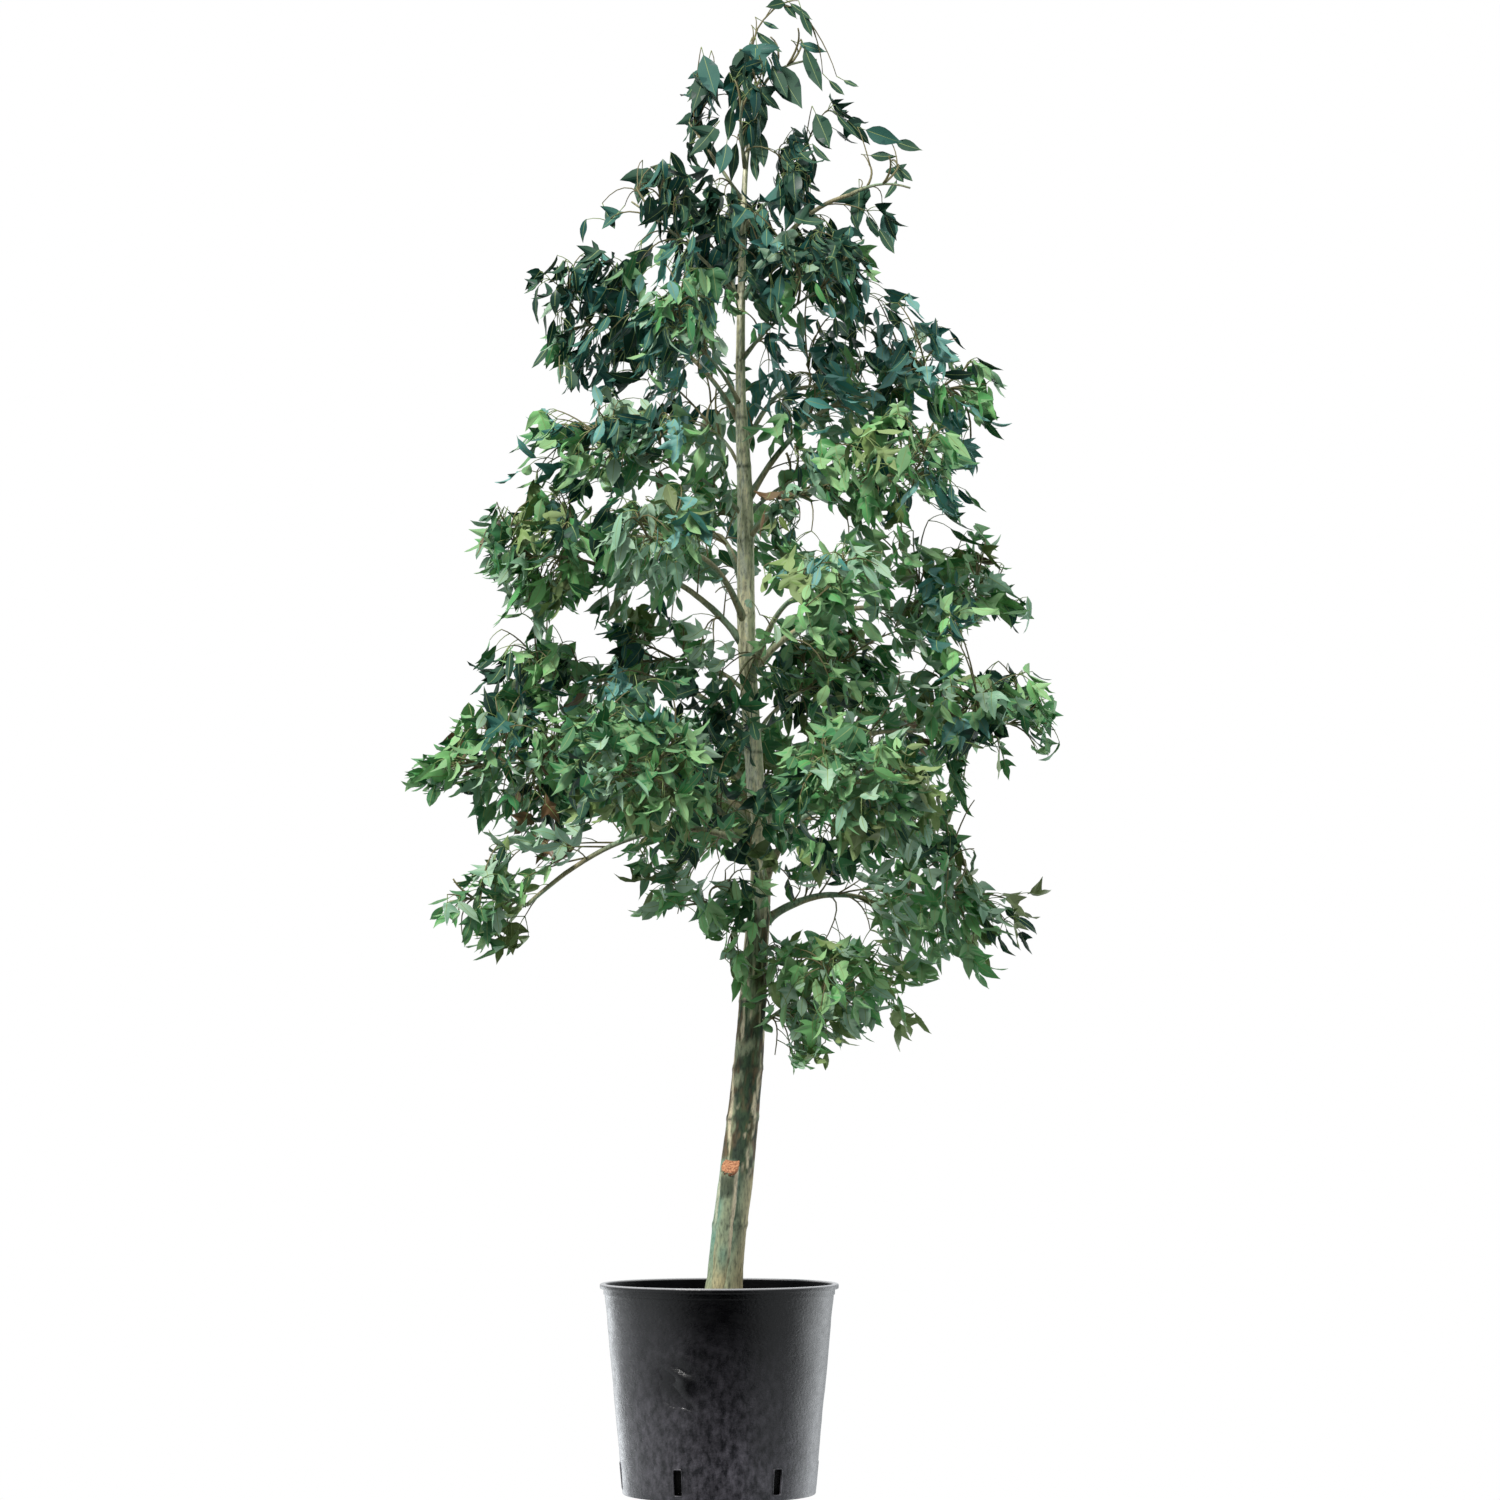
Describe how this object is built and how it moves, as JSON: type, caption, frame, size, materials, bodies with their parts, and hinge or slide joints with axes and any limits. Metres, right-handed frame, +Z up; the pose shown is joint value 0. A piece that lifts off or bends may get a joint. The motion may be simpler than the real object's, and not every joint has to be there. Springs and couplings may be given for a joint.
{
  "type": "potted kurrajong tree",
  "caption": "Young kurrajong tree with a slim tapering trunk and a tall airy crown of hanging green leaves, growing in a round black nursery pot.",
  "frame": {"origin": "centre of the pot's flat underside", "axes": "+Z up from the pot to the tree's tip, -Y towards the side the picture shows, +X to that side's right"},
  "size_m": [1.1221, 1.0413, 2.6649],
  "materials": {
    "bark": "matte grey-green and tan bark",
    "cut_wood": "matte weathered cut",
    "leaf": "satin dark green",
    "pot": "semi-gloss black",
    "soil": "matte dark brown bark mix"
  },
  "bodies": {
    "root": {"pot": "pot", "soil": "soil", "trunk": "bark", "pruned_stub": "cut_wood", "bough_left_skirt": "bark", "bough_left_low_outer": "bark", "bough_left_low_inner": "bark", "bough_left_low_upper": "bark", "bough_left_mid_outer": "bark", "bough_left_mid_inner": "bark", "bough_left_high_outer": "bark", "bough_right_top": "bark", "bough_right_high_outer": "bark", "bough_right_high_mid": "bark", "bough_right_upmid": "bark", "bough_right_mid_outer": "bark", "bough_right_mid_inner": "bark", "bough_right_low_outer": "bark", "bough_right_low_inner": "bark", "bough_right_skirt": "bark", "bough_back_low": "bark", "bough_back_low_left": "bark", "bough_back_low_right": "bark", "bough_back_mid": "bark", "foliage_left_skirt": "leaf", "foliage_left_low_outer": "leaf", "foliage_left_low_inner": "leaf", "foliage_left_low_upper": "leaf", "foliage_left_mid_low": "leaf", "foliage_left_mid_outer": "leaf", "foliage_left_mid_inner": "leaf", "foliage_left_upmid": "leaf", "foliage_left_high_outer": "leaf", "foliage_left_high_inner": "leaf", "foliage_left_top": "leaf", "foliage_top_left": "leaf", "foliage_top_mid": "leaf", "foliage_leader": "leaf", "foliage_top_right": "leaf", "foliage_centre_high": "leaf", "foliage_right_top": "leaf", "foliage_right_high_inner": "leaf", "foliage_right_high_outer": "leaf", "foliage_right_high_mid": "leaf", "foliage_right_upmid": "leaf", "foliage_right_twig": "leaf", "foliage_right_mid_outer": "leaf", "foliage_right_mid_inner": "leaf", "foliage_right_lowmid": "leaf", "foliage_right_low_outer": "leaf", "foliage_right_low_inner": "leaf", "foliage_right_skirt": "leaf", "foliage_low_front": "leaf", "foliage_low_left": "leaf", "foliage_back_low": "leaf", "foliage_back_low_left": "leaf", "foliage_back_low_right": "leaf", "foliage_back_mid": "leaf", "foliage_back_upmid": "leaf"}
  },
  "joints": []
}
